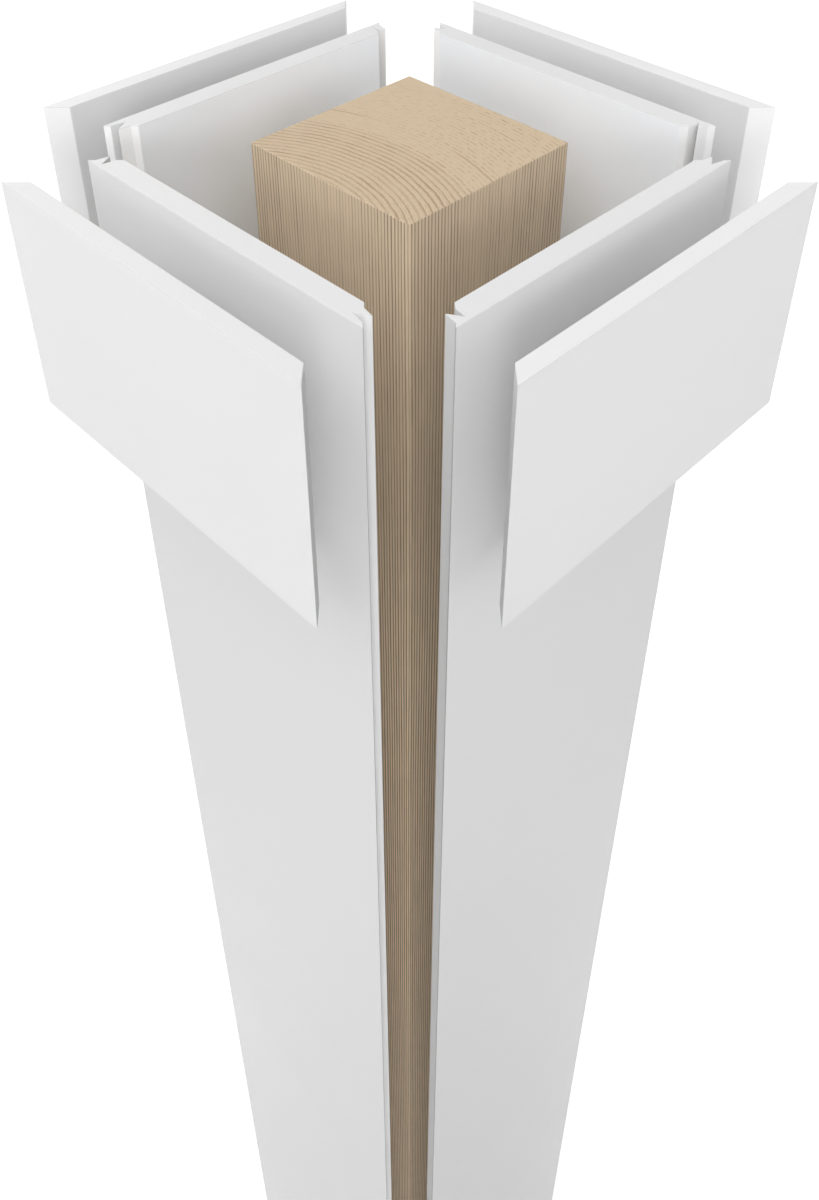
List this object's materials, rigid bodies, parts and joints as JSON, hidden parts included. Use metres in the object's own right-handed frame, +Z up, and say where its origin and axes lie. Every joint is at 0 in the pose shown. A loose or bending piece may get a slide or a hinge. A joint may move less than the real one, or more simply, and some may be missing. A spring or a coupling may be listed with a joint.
{
  "type": "porch column wrap",
  "caption": "Square porch column wrap opened out round its wood post: lock-mitred cellular PVC boards on every side and a mitred collar of flat trim at the head.",
  "frame": {"origin": "on the floor, at the middle of the post's foot", "axes": "+Z up along the post, -Y towards the front board, +X towards the right board"},
  "size_m": [0.4104, 0.4104, 2.4384],
  "materials": {
    "softwood": "planed fir, unfinished",
    "board_pvc": "smooth satin white cellular PVC",
    "collar_pvc": "smooth satin white cellular PVC"
  },
  "bodies": {
    "root": {"wood_post": "softwood", "board_front": "board_pvc", "board_right": "board_pvc", "board_back": "board_pvc", "board_left": "board_pvc", "collar_front": "collar_pvc", "collar_right": "collar_pvc", "collar_back": "collar_pvc", "collar_left": "collar_pvc"}
  },
  "joints": []
}
